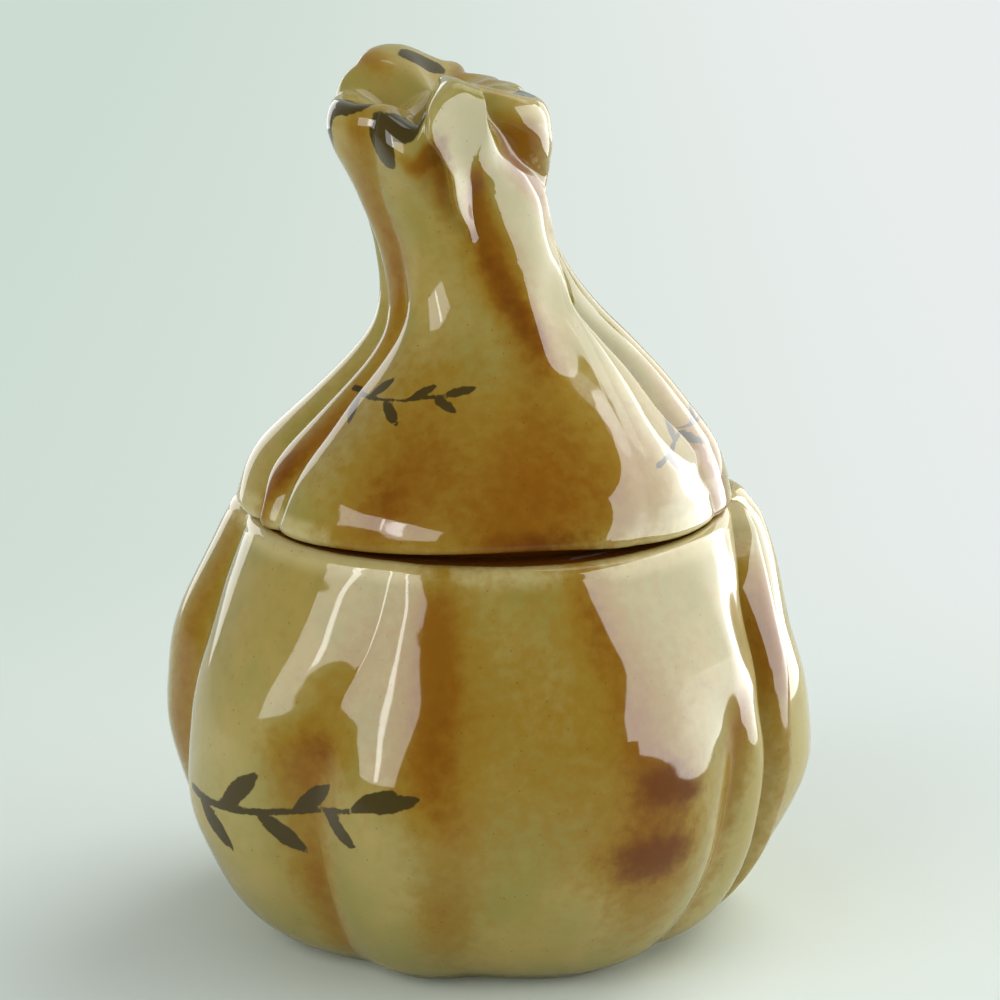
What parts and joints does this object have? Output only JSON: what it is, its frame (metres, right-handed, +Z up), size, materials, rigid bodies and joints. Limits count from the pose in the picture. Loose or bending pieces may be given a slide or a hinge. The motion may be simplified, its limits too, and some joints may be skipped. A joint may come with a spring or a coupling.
{
  "type": "garlic keeper",
  "caption": "Glazed ceramic garlic keeper in the form of a lobed garlic bulb: a round-bellied pot and a lift-off lid that rises into a leaning, flared stem.",
  "frame": {"origin": "centre of the foot, on the surface that the pot stands on", "axes": "+Z up from the foot to the lid's stem, -Y the front, +X the right seen from the front"},
  "size_m": [0.1289, 0.1245, 0.1752],
  "materials": {
    "pot_glaze": "amber and cream glaze over brown airbrushing, glossy",
    "lid_glaze": "amber and cream glaze over brown airbrushing, glossy"
  },
  "bodies": {
    "pot": {"pot": "pot_glaze"},
    "lid": {"lid": "lid_glaze"}
  },
  "joints": [
    {"name": "lid_lift", "type": "slide", "parent": "pot", "child": "lid", "axis": [0, 0, 1], "range_m": [0, 0.12]}
  ]
}
